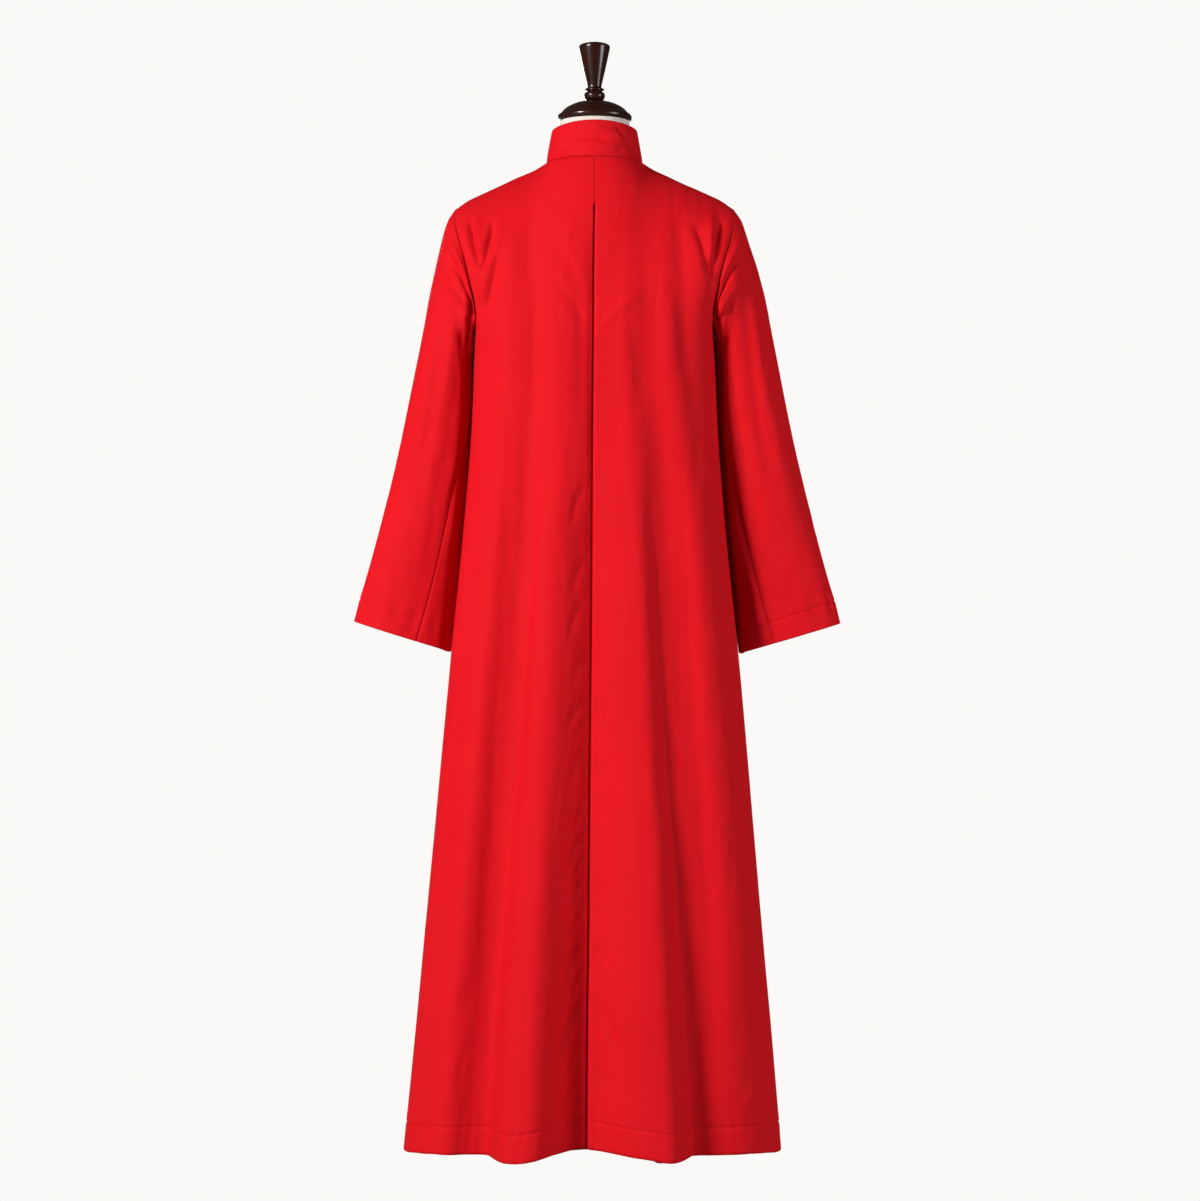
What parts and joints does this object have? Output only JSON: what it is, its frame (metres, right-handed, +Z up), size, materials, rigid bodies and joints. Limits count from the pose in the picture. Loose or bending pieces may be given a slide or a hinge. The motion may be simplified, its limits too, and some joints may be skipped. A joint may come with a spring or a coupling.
{
  "type": "cassock on limbless dress form",
  "caption": "Long plain A-line cassock with stand collar and inverted centre-back pleat, filled out on a limbless dress form with neck cap, finial, pole and low foot",
  "frame": {"origin": "on the floor below the centre of the dress form's pole, near the middle of the whole outline", "axes": "+Z up, -Y the garment's front, +Y its back, +X the wearer's left"},
  "size_m": [0.7294, 0.4468, 1.6701],
  "materials": {
    "cloth": "soft sheen, fine weave",
    "button_cloth": "covered, soft sheen",
    "form_cloth": "matte plain weave",
    "dark_wood": "gloss",
    "dark_iron": "satin"
  },
  "bodies": {
    "root": {"back_left": "cloth", "back_right": "cloth", "pleat_underlay": "cloth", "front_left": "cloth", "front_right": "cloth", "collar": "cloth", "sleeve_left_upper": "cloth", "sleeve_left_under": "cloth", "sleeve_right_upper": "cloth", "sleeve_right_under": "cloth", "button_01": "button_cloth", "button_02": "button_cloth", "button_03": "button_cloth", "button_04": "button_cloth", "button_05": "button_cloth", "button_06": "button_cloth", "button_07": "button_cloth", "button_08": "button_cloth", "button_09": "button_cloth", "button_10": "button_cloth", "button_11": "button_cloth", "button_12": "button_cloth", "button_13": "button_cloth", "form_torso": "form_cloth", "neck_cap": "dark_wood", "finial": "dark_wood", "pole": "dark_iron", "base": "dark_iron"}
  },
  "joints": []
}
